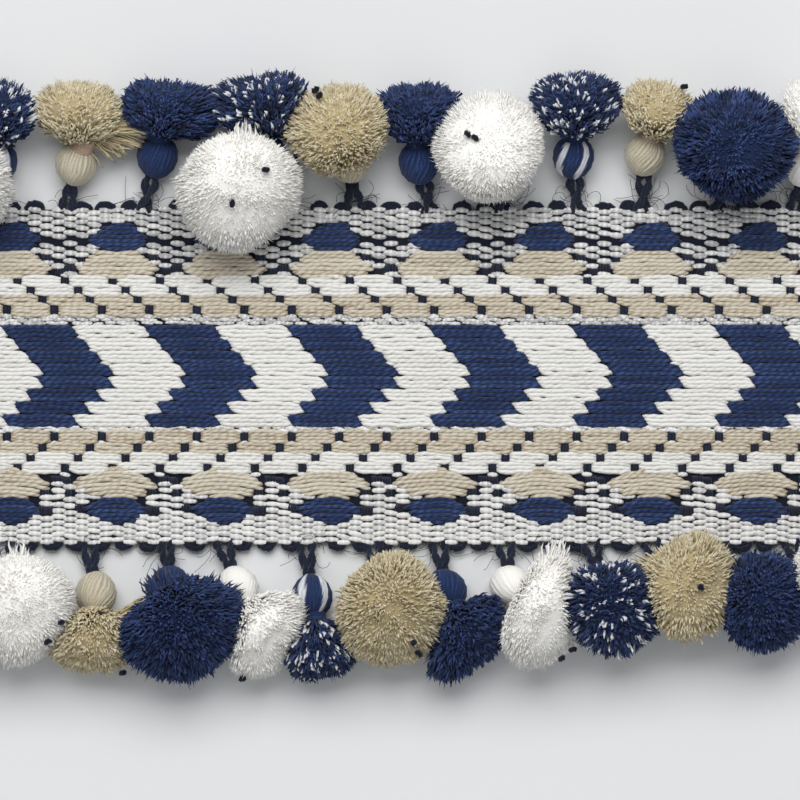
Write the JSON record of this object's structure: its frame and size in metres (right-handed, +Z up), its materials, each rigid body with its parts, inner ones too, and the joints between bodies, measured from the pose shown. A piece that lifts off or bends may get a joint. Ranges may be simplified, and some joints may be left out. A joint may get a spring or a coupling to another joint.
{
  "type": "pompom fringe trim",
  "caption": "Woven trim band with raised chevrons, lozenges and ovals, and a looped fringe of trimmed yarn pompoms on both edges.",
  "frame": {"origin": "middle of the band's flat underside", "axes": "+X along the band, +Y across it towards the top fringe, +Z up out of the patterned face"},
  "size_m": [0.1969, 0.1229, 0.0224],
  "materials": {
    "woven_band": "jacquard weave of ivory, beige and navy yarn",
    "loop_yarn": "twisted dark navy yarn",
    "ivory_yarn": "fluffy trimmed ivory yarn",
    "beige_yarn": "trimmed beige yarn",
    "navy_yarn": "trimmed navy yarn",
    "flecked_yarn": "trimmed navy yarn flecked with ivory"
  },
  "bodies": {
    "root": {"band": "woven_band", "loop_top_01": "loop_yarn", "pompom_top_01": "ivory_yarn", "loop_top_02": "loop_yarn", "pompom_top_02": "flecked_yarn", "loop_top_03": "loop_yarn", "pompom_top_03": "beige_yarn", "loop_top_04": "loop_yarn", "pompom_top_04": "navy_yarn", "loop_top_05": "loop_yarn", "pompom_top_05": "ivory_yarn", "loop_top_06": "loop_yarn", "pompom_top_06": "flecked_yarn", "loop_top_07": "loop_yarn", "pompom_top_07": "beige_yarn", "loop_top_08": "loop_yarn", "pompom_top_08": "navy_yarn", "loop_top_09": "loop_yarn", "pompom_top_09": "ivory_yarn", "loop_top_10": "loop_yarn", "pompom_top_10": "flecked_yarn", "loop_top_11": "loop_yarn", "pompom_top_11": "beige_yarn", "loop_top_12": "loop_yarn", "pompom_top_12": "navy_yarn", "loop_top_13": "loop_yarn", "pompom_top_13": "ivory_yarn", "loop_bottom_01": "loop_yarn", "pompom_bottom_01": "flecked_yarn", "loop_bottom_02": "loop_yarn", "pompom_bottom_02": "ivory_yarn", "loop_bottom_03": "loop_yarn", "pompom_bottom_03": "beige_yarn", "loop_bottom_04": "loop_yarn", "pompom_bottom_04": "navy_yarn", "loop_bottom_05": "loop_yarn", "pompom_bottom_05": "ivory_yarn", "loop_bottom_06": "loop_yarn", "pompom_bottom_06": "flecked_yarn", "loop_bottom_07": "loop_yarn", "pompom_bottom_07": "beige_yarn", "loop_bottom_08": "loop_yarn", "pompom_bottom_08": "navy_yarn", "loop_bottom_09": "loop_yarn", "pompom_bottom_09": "ivory_yarn", "loop_bottom_10": "loop_yarn", "pompom_bottom_10": "flecked_yarn", "loop_bottom_11": "loop_yarn", "pompom_bottom_11": "beige_yarn", "loop_bottom_12": "loop_yarn", "pompom_bottom_12": "navy_yarn", "loop_bottom_13": "loop_yarn", "pompom_bottom_13": "ivory_yarn"}
  },
  "joints": []
}
